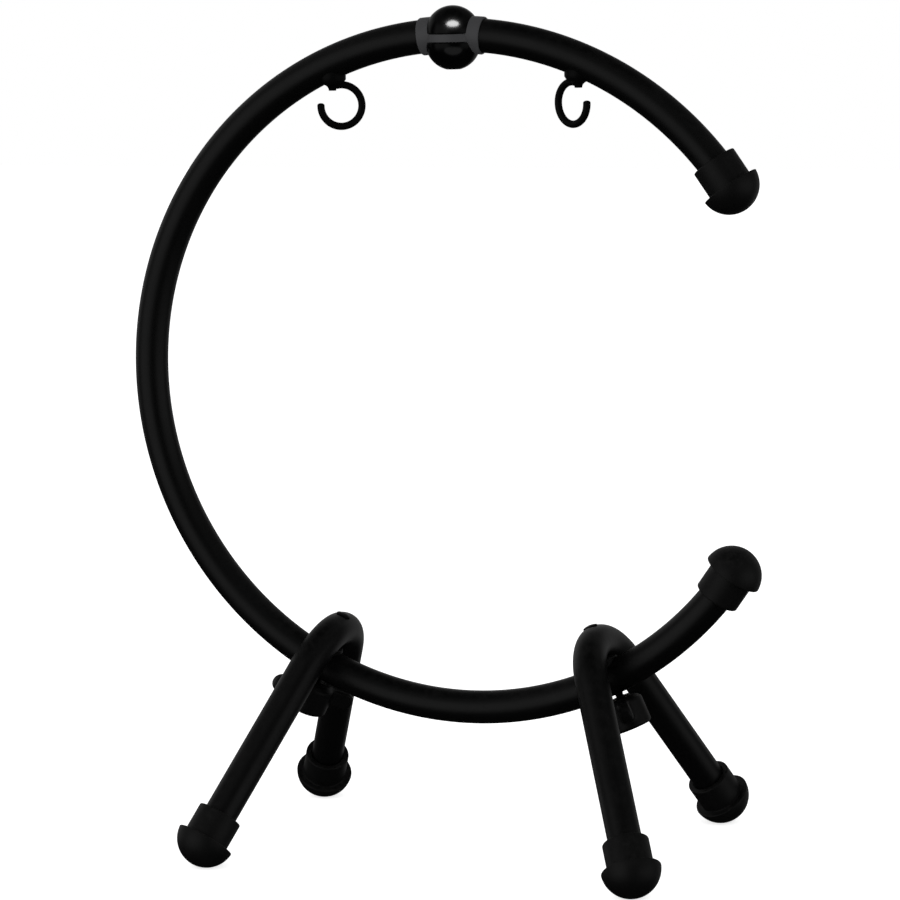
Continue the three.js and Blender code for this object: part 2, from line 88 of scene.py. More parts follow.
# Clamps
STUD_RADIUS = 2.5 * MM
STUD_REACH = 25.7 * MM
STUD_HEAD_RADIUS = 4.25 * MM
STUD_HEAD_CROWN = 0.9 * MM
HEAD_SINK = 0.2 * MM
THREAD_PITCH = 0.8 * MM
THREAD_DEPTH = 0.45 * MM
THREAD_TIP_SHARE = 0.6
CLAMP_OPENING = 1.8 * MM
WASHER_RADIUS = 5.5 * MM
WASHER_THICKNESS = 0.8 * MM
WASHER_SOFTNESS = 0.2 * MM
KNOB_HEIGHT = 18.1 * MM
KNOB_FLOOR = 2.5 * MM
KNOB_HUB_RADIUS = 11.5 * MM
KNOB_NECK_RADIUS = 8.5 * MM
KNOB_NECK_LENGTH = 2.5 * MM
KNOB_END_ROUNDING = 2 * MM
KNOB_EDGE_SOFTNESS = 0.9 * MM
KNOB_MOUTH_DROP = 0.4 * MM
WING_REACH = 25 * MM
WING_HEIGHT = 11 * MM
WING_THICKNESS = 7 * MM
WING_DROP = 6.9 * MM
WING_ROUNDING = 2 * MM
WING_ROOT_SOFTNESS = 2.5 * MM
INSERT_RADIUS = 4 * MM
INSERT_LENGTH = 10 * MM
INSERT_SOFTNESS = 0.4 * MM
KNOB_TURNS = {"left": math.radians(37), "right": math.radians(108)}

# Ball and hooks
TOP_ANGLE = math.radians(90.5)
BALL_RADIUS = 15.6 * MM
SHELL_FLAT_SHARE = 0.6
SHELL_EDGE_SOFTNESS = 0.5 * MM
BALL_DROP = 1.7 * MM
BAND_HEIGHT = 5.1 * MM
BAND_RADIUS = 15.3 * MM
BAND_SOFTNESS = 0.4 * MM
SLEEVE_LENGTH = 37 * MM
SLEEVE_WALL = 0.8 * MM
SLEEVE_EDGE_EASE = 0.35 * MM
BALL_SCREW_RADIUS = 2 * MM
BALL_SCREW_HEAD_RADIUS = 3.5 * MM
BALL_SCREW_HEAD_HEIGHT = 2.4 * MM
BALL_SCREW_RECESS = 1.2 * MM
BALL_SCREW_POCKET = 4.5 * MM
BALL_SCREW_SOFTNESS = 0.3 * MM
SOCKET_HALF_FLAT = 1.5 * MM
SOCKET_DEPTH = 1.4 * MM
HOOK_POSITION = math.radians(22.47)
HOOK_WIRE_RADIUS = 2.1 * MM
HOOK_LOOP_RADIUS = 11.8 * MM
HOOK_LOOP_DROP = 24.5 * MM
HOOK_LOOP_OFFSET = 5 * MM
HOOK_BEND_RADIUS = 2.6 * MM
HOOK_SHANK_TOP = 4 * MM
HOOK_TIP_ANGLE = math.radians(88)
HOOK_TURN = math.radians(30)
HOOK_TIP_LENGTH = 0.6 * HOOK_WIRE_RADIUS
WELD_RADIUS = 6 * MM
WELD_SPREAD = 1.8 * MM
WELD_FOOT_DROP = 15.9 * MM
WELD_HEIGHT = 3.5 * MM

# Surface counts
AROUND_TUBE = 64
AROUND_CAP = 72
AROUND_STUD = 48
AROUND_KNOB = 224
AROUND_HOOK = 32
RING_STATIONS = 260
ARM_STATIONS = 12
BEND_STATIONS = 64
DOME_ROWS = 26
PAD_ROWS = 8
KNOB_ROWS = 150
SHELL_ROWS = 40
SLEEVE_STATIONS = 30
LOOP_STATIONS = 120
CORNER_STEPS = 6
AXIS_GAP = 0.2 * MM


# Surfaces worked out on grids

def closed_skin(rows):
    """Rows of points that run round a closed shape. Neighbouring rows are joined by quads, and
    each end row by a fan of triangles to its mean point."""
    count, around = rows.shape[:2]
    points = np.concatenate([rows.reshape(-1, 3), rows[[0, -1]].mean(axis=1)])
    row, column = np.meshgrid(np.arange(count - 1), np.arange(around), indexing="ij")
    here = row * around + column
    beside = row * around + (column + 1) % around
    quads = np.stack([here, beside, beside + around, here + around], -1).reshape(-1, 4)
    turn = np.arange(around)
    onward = (turn + 1) % around
    last = (count - 1) * around
    first_fan = np.stack([onward, turn, np.full(around, count * around)], -1)
    last_fan = np.stack([turn + last, onward + last, np.full(around, count * around + 1)], -1)
    return points, quads.tolist() + first_fan.tolist() + last_fan.tolist()


def hollow_skin(rows):
    """Rows of points that run round a pierced shape: as a closed skin, but the last row is
    joined to the first."""
    count, around = rows.shape[:2]
    row, column = np.meshgrid(np.arange(count), np.arange(around), indexing="ij")
    after = ((row + 1) % count) * around
    onward = (column + 1) % around
    here = row * around
    quads = np.stack([here + column, here + onward, after + onward, after + column], -1)
    return rows.reshape(-1, 3), quads.reshape(-1, 4).tolist()


def outward(points, faces):
    """The faces in an order that points them out: the sum over triangles of a·(b×c) is six
    times the volume, and its sign says which way they face."""
    corners = np.array([[f[0], f[k], f[k + 1]] for f in faces for k in range(1, len(f) - 1)])
    a, b, c = (points[corners[:, k]] for k in range(3))
    if np.einsum("ij,ij->", a, np.cross(b, c)) < 0:
        return [face[::-1] for face in faces]
    return faces


def make_piece(name, skin, material, slot, body, *nodes):
    """A smooth piece that rides on a body and stands for its nodes."""
    points, faces = skin
    mesh = bpy.data.meshes.new(name)
    mesh.from_pydata(points.tolist(), [], outward(points, faces))
    mesh.shade_smooth()
    mesh.materials.append(material)
    piece = bpy.data.objects.new(name, mesh)
    bpy.context.scene.collection.objects.link(piece)
    shading = piece.modifiers.new("even shading", "WEIGHTED_NORMAL")
    shading.keep_sharp = True
    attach(piece, body)
    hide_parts(*nodes)
    return piece


def softened(corners, softness):
    """A profile whose inner corners are eased: from softness before a corner, half an edge at
    most, to softness after it runs the parabola (1-t)²·before + 2t(1-t)·corner + t²·after."""
    corners = np.array(corners, float)
    softness = np.broadcast_to(softness, len(corners))
    t = np.linspace(0, 1, CORNER_STEPS + 1)[:, None]
    eased = [corners[:1]]
    for before, corner, after, soft in zip(corners, corners[1:], corners[2:], softness[1:]):
        back, on = before - corner, after - corner
        start = corner + back * min(0.5, soft / np.linalg.norm(back))
        end = corner + on * min(0.5, soft / np.linalg.norm(on))
        eased.append((1 - t) ** 2 * start + 2 * t * (1 - t) * corner + t**2 * end)
    return np.concatenate(eased + [corners[-1:]])


def turned(profile, place, around=AROUND_CAP):
    """A profile of (radius, height) turned about the third axis of a place: radius·(cos t,
    sin t) and height."""
    turn = np.linspace(0, 2 * math.pi, around, endpoint=False)
    radius, height = profile[:, 0, None], profile[:, 1, None]
    rows = np.stack(np.broadcast_arrays(radius * np.cos(turn), radius * np.sin(turn), height), -1)
    return moved(rows, place)


def moved(points, place):
    """Points of a place's own axes, as points of the stand: origin + x·X + y·Y + z·Z."""
    origin, axes = place
    return origin + points @ axes


def bar(stations, travel, across, radius, around=AROUND_TUBE):
    """A round bar: at each station a circle stands square to the travel, station + radius·
    (cos t · side + sin t · across), where side is across × travel."""
    turn = np.linspace(0, 2 * math.pi, around, endpoint=False)[:, None]
    side = np.cross(across, travel)
    radius = np.broadcast_to(radius, len(stations))[:, None, None]
    circle = np.cos(turn) * side[:, None] + np.sin(turn) * across
    return stations[:, None] + radius * circle


def meeting(start, direction, field, reach, rounds=40):
    """Where rays from inside a shape leave it: halving of the stretch in which the field turns
    from negative to positive."""
    near, far = np.zeros(direction.shape[:-1]), np.full(direction.shape[:-1], reach)
    for _ in range(rounds):
        middle = (near + far) / 2
        inside = field(start + direction * middle[..., None]) < 0
        near, far = np.where(inside, middle, near), np.where(inside, far, middle)
    return start + direction * near[..., None]


def soft_union(a, b, softness):
    """The smaller of two distances, filleted where they come within the softness."""
    share = np.clip(0.5 + 0.5 * (b - a) / softness, 0, 1)
    return b + (a - b) * share - softness * share * (1 - share)


def soft_cut(a, b, softness):
    """The larger of two distances, eased where they meet."""
    return -soft_union(-a, -b, softness)


# Places, worked out from the frame

crossings = {side: np.array(joints[f"leg_frame_{side}_turn"]["pos_m"]) for side in SIDES}
half_span = (crossings["right"][0] - crossings["left"][0]) / 2
ring_centre = np.array([
    (crossings["left"][0] + crossings["right"][0]) / 2,
    0,
    crossings["left"][2] + math.sqrt(RING_RADIUS**2 - half_span**2),
])


def leg_place(side):
    """The crossing of a leg frame with the ring: the third axis runs up its middle, the
    second to the back."""
    up = -np.array(joints[f"leg_frame_{side}_turn"]["axis"])
    up /= np.linalg.norm(up)
    return crossings[side], np.array([np.cross(Y, up), Y, up])


def ring_place(angle, radius=RING_RADIUS):
    """A point of the ring's centreline, or of a circle beside it: the third axis runs out from
    the ring's middle."""
    out = np.array([math.cos(angle), 0, math.sin(angle)])
    return ring_centre + radius * out, np.array([np.cross(Y, out), Y, out])


def ring_line(angle):
    """Stations along the ring's centreline, at angles from its mouth, and its direction there."""
    out = np.stack([np.cos(angle), 0 * angle, np.sin(angle)], -1)
    travel = np.stack([-np.sin(angle), 0 * angle, np.cos(angle)], -1)
    return ring_centre + RING_RADIUS * out, travel


# Effects that several finishes share

def new_group(name, inputs, outputs):
    """A shader node group with its sockets, and its own input and output nodes."""
    group = bpy.data.node_groups.new(name, "ShaderNodeTree")
    for label, value in inputs.items():
        socket = group.interface.new_socket(name=label, in_out="INPUT", socket_type="NodeSocketFloat")
        socket.default_value = value
    for label, kind in outputs.items():
        group.interface.new_socket(name=label, in_out="OUTPUT", socket_type=kind)
    return group, group.nodes.new("NodeGroupInput"), group.nodes.new("NodeGroupOutput")


def noise(tree, scale, detail, roughness=0.5):
    """Noise on the piece's own coordinates. Scale and roughness may be links or numbers."""
    place = tree.nodes.new("ShaderNodeTexCoord")
    node = tree.nodes.new("ShaderNodeTexNoise")
    node.inputs["Detail"].default_value = detail
    node.inputs["Roughness"].default_value = roughness
    tree.links.new(place.outputs["Object"], node.inputs["Vector"])
    set_input(tree, node.inputs["Scale"], scale)
    return node.outputs["Fac"]


def set_input(tree, socket, value):
    if isinstance(value, bpy.types.NodeSocket):
        tree.links.new(value, socket)
    else:
        socket.default_value = value


def math_node(tree, operation, *values):
    node = tree.nodes.new("ShaderNodeMath")
    node.operation = operation
    for socket, value in zip(node.inputs, values):
        set_input(tree, socket, value)
    return node.outputs[0]


def remap(tree, value, low, high, to_low, to_high):
    node = tree.nodes.new("ShaderNodeMapRange")
    for label, number in (
        ("Value", value),
        ("From Min", low),
        ("From Max", high),
        ("To Min", to_low),
        ("To Max", to_high),
    ):
        set_input(tree, node.inputs[label], number)
    return node.outputs["Result"]


def skin_group():
    """Fine relief of a coat or a moulding: noise at two sizes, as a normal and a mask."""
    group, given, result = new_group(
        "fine relief",
        {"Coarse Scale": 900.0, "Fine Scale": 3000.0, "Fine Share": 0.3, "Height": 0.02},
        {"Normal": "NodeSocketVector", "Mask": "NodeSocketFloat"},
    )
    coarse = noise(group, given.outputs["Coarse Scale"], 2.0)
    fine = noise(group, given.outputs["Fine Scale"], 2.0)
    weighted = math_node(group, "MULTIPLY", fine, given.outputs["Fine Share"])
    both = math_node(group, "ADD", coarse, weighted)
    bump = group.nodes.new("ShaderNodeBump")
    bump.inputs["Distance"].default_value = 1 * MM
    group.links.new(given.outputs["Height"], bump.inputs["Strength"])
    group.links.new(both, bump.inputs["Height"])
    group.links.new(bump.outputs["Normal"], result.inputs["Normal"])
    group.links.new(both, result.inputs["Mask"])
    return group


def dust_group():
    """Dust that lies where a surface looks up, broken by noise."""
    group, given, result = new_group(
        "lying dust",
        {"Amount": 0.3, "Scale": 160.0},
        {"Mask": "NodeSocketFloat"},
    )
    surface = group.nodes.new("ShaderNodeNewGeometry")
    parts = group.nodes.new("ShaderNodeSeparateXYZ")
    group.links.new(surface.outputs["Normal"], parts.inputs["Vector"])
    looks_up = remap(group, parts.outputs["Z"], 0.3, 1.0, 0.0, 1.0)
    specks = remap(group, noise(group, given.outputs["Scale"], 8.0, 0.7), 0.45, 0.75, 0.0, 1.0)
    lying = math_node(group, "MULTIPLY", looks_up, specks)
    group.links.new(math_node(group, "MULTIPLY", lying, given.outputs["Amount"]), result.inputs["Mask"])
    return group


def handling_group():
    """Faint rubbed patches and hair-fine scratches of handling, as a mask."""
    group, given, result = new_group(
        "handling marks",
        {"Patch Scale": 40.0, "Scratch Scale": 500.0, "Scratch Stretch": 14.0},
        {"Patches": "NodeSocketFloat", "Scratches": "NodeSocketFloat"},
    )
    patches = remap(group, noise(group, given.outputs["Patch Scale"], 5.0, 0.6), 0.35, 0.7, 0.0, 1.0)
    place = group.nodes.new("ShaderNodeTexCoord")
    stretch = group.nodes.new("ShaderNodeCombineXYZ")
    stretch.inputs["X"].default_value = 1.0
    stretch.inputs["Z"].default_value = 1.0
    group.links.new(given.outputs["Scratch Stretch"], stretch.inputs["Y"])
    lengthened = group.nodes.new("ShaderNodeVectorMath")
    lengthened.operation = "DIVIDE"
    group.links.new(place.outputs["Object"], lengthened.inputs[0])
    group.links.new(stretch.outputs["Vector"], lengthened.inputs[1])
    lines = group.nodes.new("ShaderNodeTexNoise")
    lines.inputs["Detail"].default_value = 3.0
    group.links.new(lengthened.outputs["Vector"], lines.inputs["Vector"])
    group.links.new(given.outputs["Scratch Scale"], lines.inputs["Scale"])
    scratches = remap(group, lines.outputs["Fac"], 0.66, 0.72, 0.0, 1.0)
    group.links.new(patches, result.inputs["Patches"])
    group.links.new(scratches, result.inputs["Scratches"])
    return group


fine_relief = skin_group()
lying_dust = dust_group()
handling_marks = handling_group()


# Finishes

DUST_COLOUR = (0.12, 0.115, 0.11)
RUBBING = 0.08
DUST_DULLING = 0.4
SCRATCH_DULLING = 0.06
STAIN_DULLING = 1.5


def new_finish(name):
    finish = bpy.data.materials.new(name)
    finish.use_nodes = True
    return finish, finish.node_tree, finish.node_tree.nodes["Principled BSDF"]


def add_group(tree, group, **values):
    """A group in a material, its inputs set by name with spaces for underscores."""
    node = tree.nodes.new("ShaderNodeGroup")
    node.node_tree = group
    for label, value in values.items():
        node.inputs[label.replace("_", " ").title()].default_value = value
    return node


def mixed_colour(tree, share, plain, other):
    node = tree.nodes.new("ShaderNodeMix")
    node.data_type = "RGBA"
    tree.links.new(share, node.inputs["Factor"])
    node.inputs["A"].default_value = (*plain, 1)
    node.inputs["B"].default_value = (*other, 1)
    return node.outputs["Result"]


def black_finish(name, colour, roughness, relief, dust, specular=0.5):
    """A black surface with fine relief, rubbed patches that shine a little more, and dust and
    scratches that shine a little less."""
    finish, tree, shader = new_finish(name)
    skin = add_group(tree, fine_relief, **relief)
    marks = add_group(tree, handling_marks)
    lying = add_group(tree, lying_dust, **dust)
    dusty = mixed_colour(tree, lying.outputs["Mask"], colour, DUST_COLOUR)
    tree.links.new(dusty, shader.inputs["Base Color"])
    dull, shiny = roughness * (1 + RUBBING), roughness * (1 - RUBBING)
    rubbed = remap(tree, marks.outputs["Patches"], 0.0, 1.0, dull, shiny)
    dulled = math_node(tree, "MULTIPLY_ADD", lying.outputs["Mask"], DUST_DULLING, rubbed)
    scratched = math_node(tree, "MULTIPLY_ADD", marks.outputs["Scratches"], SCRATCH_DULLING, dulled)
    tree.links.new(scratched, shader.inputs["Roughness"])
    tree.links.new(skin.outputs["Normal"], shader.inputs["Normal"])
    shader.inputs["Specular IOR Level"].default_value = specular
    return finish


def turned_metal(name, colour, roughness, stain):
    """Plated or turned metal with faint stains and a fine grain."""
    finish, tree, shader = new_finish(name)
    skin = add_group(tree, fine_relief, coarse_scale=1500.0, fine_scale=5000.0, height=0.01)
    marks = add_group(tree, handling_marks, patch_scale=220.0)
    stained = mixed_colour(tree, marks.outputs["Patches"], colour, stain)
    tree.links.new(stained, shader.inputs["Base Color"])
    worn = remap(tree, marks.outputs["Patches"], 0.0, 1.0, roughness, roughness * STAIN_DULLING)
    tree.links.new(worn, shader.inputs["Roughness"])
    tree.links.new(skin.outputs["Normal"], shader.inputs["Normal"])
    shader.inputs["Metallic"].default_value = 1.0
    return finish


COAT = black_finish(
    "black powder coat", (0.0011, 0.0011, 0.0012), 0.4,
    {"coarse_scale": 700.0, "fine_scale": 2600.0, "height": 0.035},
    {"amount": 0.06, "scale": 200.0},
)
WIRE_COAT = black_finish(
    "black dipped wire", (0.001, 0.001, 0.0011), 0.5,
    {"coarse_scale": 1100.0, "fine_scale": 3600.0, "height": 0.03},
    {"amount": 0.04, "scale": 260.0},
    specular=0.25,
)
RUBBER = black_finish(
    "black rubber", (0.0022, 0.0022, 0.0022), 0.5,
    {"coarse_scale": 1600.0, "fine_scale": 5200.0, "height": 0.05},
    {"amount": 0.12, "scale": 240.0},
)
GLOSS = black_finish(
    "polished black shell", (0.0008, 0.0008, 0.0009), 0.19,
    {"coarse_scale": 90.0, "fine_scale": 400.0, "fine_share": 0.1, "height": 0.006},
    {"amount": 0.03, "scale": 500.0},
    specular=0.2,
)
MOULDED = black_finish(
    "black moulding", (0.0015, 0.0015, 0.0016), 0.48,
    {"coarse_scale": 2200.0, "fine_scale": 6000.0, "height": 0.04},
    {"amount": 0.08, "scale": 260.0},
)
BAND = black_finish(
    "dark grey satin band", (0.055, 0.055, 0.058), 0.42,
    {"coarse_scale": 1800.0, "fine_scale": 5200.0, "height": 0.02},
    {"amount": 0.04, "scale": 300.0},
)
BLACK_ZINC = turned_metal("black zinc plate", (0.02, 0.02, 0.021), 0.35, (0.03, 0.028, 0.026))
BRASS = turned_metal("turned brass", (0.6, 0.44, 0.18), 0.26, (0.42, 0.3, 0.12))


# Ring and its caps

def ring_tube():
    angle = np.linspace(MOUTH_HALF_ANGLE, 2 * math.pi - MOUTH_HALF_ANGLE, RING_STATIONS)
    rows = bar(*ring_line(angle), Y, TUBE_RADIUS)
    make_piece("ring-tube", closed_skin(rows), COAT, "powder_coat", "ring", "ring_tube")


def cap_profile():
    """A ball a little less than half round, a flat shoulder, and a straight collar with an
    eased lip; the bore closes on the tube inside."""
    shoulder = math.asin(CAP_SHOULDER_DROP / CAP_DOME_RADIUS)
    angle = np.linspace(-math.pi / 2, -shoulder, DOME_ROWS)
    dome = CAP_DOME_RADIUS * np.stack([np.cos(angle), np.sin(angle)], -1)
    lip = CAP_COLLAR_LENGTH - CAP_SHOULDER_DROP
    bore = TUBE_RADIUS + CLEARANCE
    step = softened([
        dome[-2],
        (CAP_DOME_RADIUS, -CAP_SHOULDER_DROP),
        (CAP_COLLAR_RADIUS, -CAP_SHOULDER_DROP),
        (CAP_COLLAR_RADIUS, lip),
        (bore, lip),
        (bore, lip - CAP_LIP_SOFTNESS * 2),
    ], [0, CAP_RIM_SOFTNESS, CAP_STEP_SOFTNESS, CAP_LIP_SOFTNESS, CAP_BORE_SOFTNESS, 0])
    return np.concatenate([dome[1:-2], step])


def ring_caps():
    for name, side in (("upper", 1), ("lower", -1)):
        angle = side * (MOUTH_HALF_ANGLE + CAP_INSERTION / RING_RADIUS)
        origin, _ = ring_place(angle)
        inward = side * np.array([-math.sin(angle), 0, math.cos(angle)])
        place = origin, np.array([np.cross(Y, inward), Y, inward])
        skin = closed_skin(turned(cap_profile(), place))
        node = f"ring_end_cap_{name}"
        make_piece(f"{name}-ring-cap", skin, RUBBER, "rubber", "ring", node)


# Leg frames and feet

def leg_outline():
    """Stations of the hairpin and its travel, in the leg's own axes: a straight arm, the bend
    over the top, and the other arm."""
    centre = TUBE_RADIUS * 2 + PAD_THICKNESS - LEG_BEND_RADIUS
    angle = np.linspace(LEG_SPREAD, math.pi - LEG_SPREAD, BEND_STATIONS)
    aside, above = LEG_BEND_RADIUS * np.cos(angle), LEG_BEND_RADIUS * np.sin(angle)
    bend = np.stack([0 * angle, aside, centre + above], -1)
    travel = np.stack([0 * angle, -np.sin(angle), np.cos(angle)], -1)
    arm = (bend[0, 2] + LEG_DROP) / math.cos(LEG_SPREAD) + CAP_INSERTION
    share = np.linspace(1, 0, ARM_STATIONS, endpoint=False)[:, None]
    back = bend[0] - travel[0] * arm * share
    front = bend[-1] + travel[-1] * arm * share[::-1]
    ways = [np.repeat(travel[[end]], ARM_STATIONS, axis=0) for end in (0, -1)]
    return np.concatenate([back, bend, front]), np.concatenate([ways[0], travel, ways[1]])


def leg_frames():
    stations, travel = leg_outline()
    for side in SIDES:
        place = leg_place(side)
        rows = moved(bar(stations, travel, X, TUBE_RADIUS), place)
        body = f"leg_frame_{side}"
        make_piece(f"{side}-leg-tube", closed_skin(rows), COAT, "powder_coat", body, f"leg_tube_{side}")
        for arm, way in zip(ARMS, (-1, 1)):
            foot_cap(side, arm, way)


def foot_cap(side, arm, way):
    """A cap on the end of an arm; what would reach under the floor lies flat on it."""
    _, axes = leg_place(side)
    inward = axes[2] * math.cos(LEG_SPREAD) - way * Y * math.sin(LEG_SPREAD)
    contact = mounts[f"foot_{arm}_{side}"]
    low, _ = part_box(f"foot_cap_{arm}_{side}")
    centre = contact + Z * (CAP_DOME_RADIUS - FOOT_FLAT_DEPTH + low.z)
    rows = turned(cap_profile(), (centre, np.array([axes[0], np.cross(inward, axes[0]), inward])))
    rows[..., 2] = np.maximum(rows[..., 2], contact[2])
    name = f"foot_cap_{arm}_{side}"
    make_piece(f"{side}-{arm}-foot", closed_skin(rows), RUBBER, "rubber", f"leg_frame_{side}", name)


def ring_field(points):
    """How far points are outside the ring tube: the distance from its centreline, which is a
    circle, less the tube's radius."""
    away = points - ring_centre
    from_circle = np.hypot(away[..., 0], away[..., 2]) - RING_RADIUS
    return np.hypot(from_circle, away[..., 1]) - TUBE_RADIUS - CLEARANCE


def saddle_pads():
    """The pad's top is the inside of the bend; its underside is let down onto the ring. The
    stud's hole runs through it."""
    bend_inside = LEG_BEND_RADIUS - TUBE_RADIUS
    crest = TUBE_RADIUS + PAD_THICKNESS - CLEARANCE
    edge = PAD_RADIUS * PAD_EDGE_SHARES
    radius = np.concatenate([np.linspace(STUD_RADIUS + CLEARANCE, edge[0], PAD_ROWS), edge[1:]])
    ease = np.concatenate([np.zeros(PAD_ROWS - 1), PAD_EDGE_EASE])
    turn = np.linspace(0, 2 * math.pi, AROUND_CAP, endpoint=False)
    flat = radius[:, None, None] * np.stack([np.cos(turn), np.sin(turn)], -1)
    height = crest - bend_inside + np.sqrt(bend_inside**2 - radius**2) - ease
    top = np.concatenate([flat, np.broadcast_to(height[:, None, None], (*flat.shape[:2], 1))], -1)
    for side in SIDES:
        place = leg_place(side)
        inside = moved(flat @ np.eye(2, 3), place)
        up = np.broadcast_to(place[1][2], inside.shape)
        base = meeting(inside, up, ring_field, 2 * TUBE_RADIUS)
        lowest = place[0] @ place[1][2] + TUBE_RADIUS - PAD_WRAP
        level = np.maximum(base @ place[1][2], lowest)
        base = inside + (level - inside @ place[1][2])[..., None] * place[1][2]
        rows = np.concatenate([moved(top, place), base[::-1]])
        node = f"saddle_pad_{side}"
        make_piece(f"{side}-saddle-pad", hollow_skin(rows), RUBBER, "rubber", "ring", node)


# Clamps

def thread_rows(low, high, around):
    """A threaded rod: the radius falls by up to the thread's depth with the phase of the
    helix, height / pitch − turn, with flat crests and roots, and narrows at the rod's end."""
    height = np.arange(low, high, THREAD_PITCH / 8)[:, None]
    turn = np.linspace(0, 1, around, endpoint=False)
    phase = (height / THREAD_PITCH - turn) % 1
    radius = STUD_RADIUS - THREAD_DEPTH * np.clip(1.25 * np.abs(2 * phase - 1) - 0.1, 0, 1)
    radius[:6] *= np.linspace(THREAD_TIP_SHARE, 1, 6)[:, None]
    turn = 2 * math.pi * turn
    return np.stack(np.broadcast_arrays(radius * np.cos(turn), radius * np.sin(turn), height), -1)


def stud_head_rows(around):
    """The low round head on the bend. Its underside lies on the tube, at the height
    centre + √((bend + √(tube² − x²))² − y²), and its top is the cap crown·(1 − (r/head)²)
    over the tube's highest line."""
    centre = TUBE_RADIUS * 2 + PAD_THICKNESS - LEG_BEND_RADIUS
    rim = TUBE_RADIUS * 3 + PAD_THICKNESS
    turn = np.linspace(0, 2 * math.pi, around, endpoint=False)
    circle = np.stack([np.cos(turn), np.sin(turn)], -1)
    under = STUD_HEAD_RADIUS * np.array([0.6, 0.96, 1])[:, None, None] * circle
    bar_height = np.sqrt((TUBE_RADIUS - HEAD_SINK) ** 2 - under[..., 0] ** 2)
    base = centre + np.sqrt((LEG_BEND_RADIUS + bar_height) ** 2 - under[..., 1] ** 2)
    share = np.array([1, 0.985, 0.94, 0.85, 0.7, 0.5, 0.3, 0.1])[:, None]
    eased = np.array([0.3, 0.08, 0, 0, 0, 0, 0, 0])[:, None] * STUD_HEAD_CROWN
    crown = rim + STUD_HEAD_CROWN * (1 - share**2) - eased + 0 * turn
    over = STUD_HEAD_RADIUS * share[..., None] * circle
    flat = np.concatenate([under, over])
    return np.concatenate([flat, np.concatenate([base, crown])[..., None]], -1)


def clamp_studs():
    thread = thread_rows(-STUD_REACH, -TUBE_RADIUS, AROUND_STUD)
    shank = [(STUD_RADIUS, -TUBE_RADIUS), (STUD_RADIUS, TUBE_RADIUS * 2 + PAD_THICKNESS)]
    for side in SIDES:
        place = leg_place(side)
        plain = turned(np.array(shank), place, AROUND_STUD)
        rows = [moved(thread, place), plain, moved(stud_head_rows(AROUND_STUD), place)]
        skin = closed_skin(np.concatenate(rows))
        body = f"leg_frame_{side}"
        make_piece(f"{side}-clamp-stud", skin, BLACK_ZINC, "black_zinc", body, f"clamp_stud_{side}")


def washer_profile(radius, low, high, softness):
    """A square profile round the stud with eased edges, from the middle of its bore."""
    bore = STUD_RADIUS + CLEARANCE
    middle = (bore, (low + high) / 2)
    corners = [middle, (bore, low), (radius, low), (radius, high), (bore, high), middle]
    return softened(corners, softness)[:-1]


WASHER_TOP = -TUBE_RADIUS - CLAMP_OPENING
KNOB_TOP = WASHER_TOP - WASHER_THICKNESS - CLEARANCE


def washers_and_inserts():
    base = WASHER_TOP - WASHER_THICKNESS
    washer = washer_profile(WASHER_RADIUS, base, WASHER_TOP, WASHER_SOFTNESS)
    insert = washer_profile(INSERT_RADIUS, KNOB_TOP - INSERT_LENGTH, KNOB_TOP, INSERT_SOFTNESS)
    for side in SIDES:
        place = leg_place(side)
        skin, node = hollow_skin(turned(washer, place)), f"clamp_washer_{side}"
        make_piece(f"{side}-clamp-washer", skin, BLACK_ZINC, "black_zinc", f"washer_{side}", node)
        skin, node = hollow_skin(turned(insert, place)), f"clamp_insert_{side}"
        make_piece(f"{side}-knob-insert", skin, BRASS, "brass", f"knob_{side}", node)


def knob_field(points):
    """How far points are outside the knob, in its own axes: a round hub with a conical neck
    and a flat end with a rounded edge, filleted into two wings with rounded edges."""
    x, y, z = np.moveaxis(points, -1, 0)
    reach = np.hypot(x, y)
    beyond = reach - KNOB_HUB_RADIUS + KNOB_END_ROUNDING
    under = -KNOB_HEIGHT + KNOB_END_ROUNDING - z
    hub = np.hypot(np.maximum(beyond, 0), np.maximum(under, 0))
    hub += np.minimum(np.maximum(beyond, under), 0) - KNOB_END_ROUNDING
    slope = np.hypot(KNOB_NECK_LENGTH, KNOB_HUB_RADIUS - KNOB_NECK_RADIUS)
    rise = z * (KNOB_HUB_RADIUS - KNOB_NECK_RADIUS)
    neck = ((reach - KNOB_NECK_RADIUS) * KNOB_NECK_LENGTH + rise) / slope
    hub = soft_cut(soft_cut(hub, neck, KNOB_EDGE_SOFTNESS), z, KNOB_EDGE_SOFTNESS)
    tip = WING_REACH - WING_HEIGHT / 2
    outline = np.hypot(np.maximum(np.abs(x) - tip, 0), z + WING_DROP) - WING_HEIGHT / 2 + WING_ROUNDING
    flank = np.abs(y) - WING_THICKNESS / 2 + WING_ROUNDING
    wing = np.hypot(np.maximum(outline, 0), np.maximum(flank, 0))
    wing += np.minimum(np.maximum(outline, flank), 0) - WING_ROUNDING
    return soft_union(hub, wing, WING_ROOT_SOFTNESS)


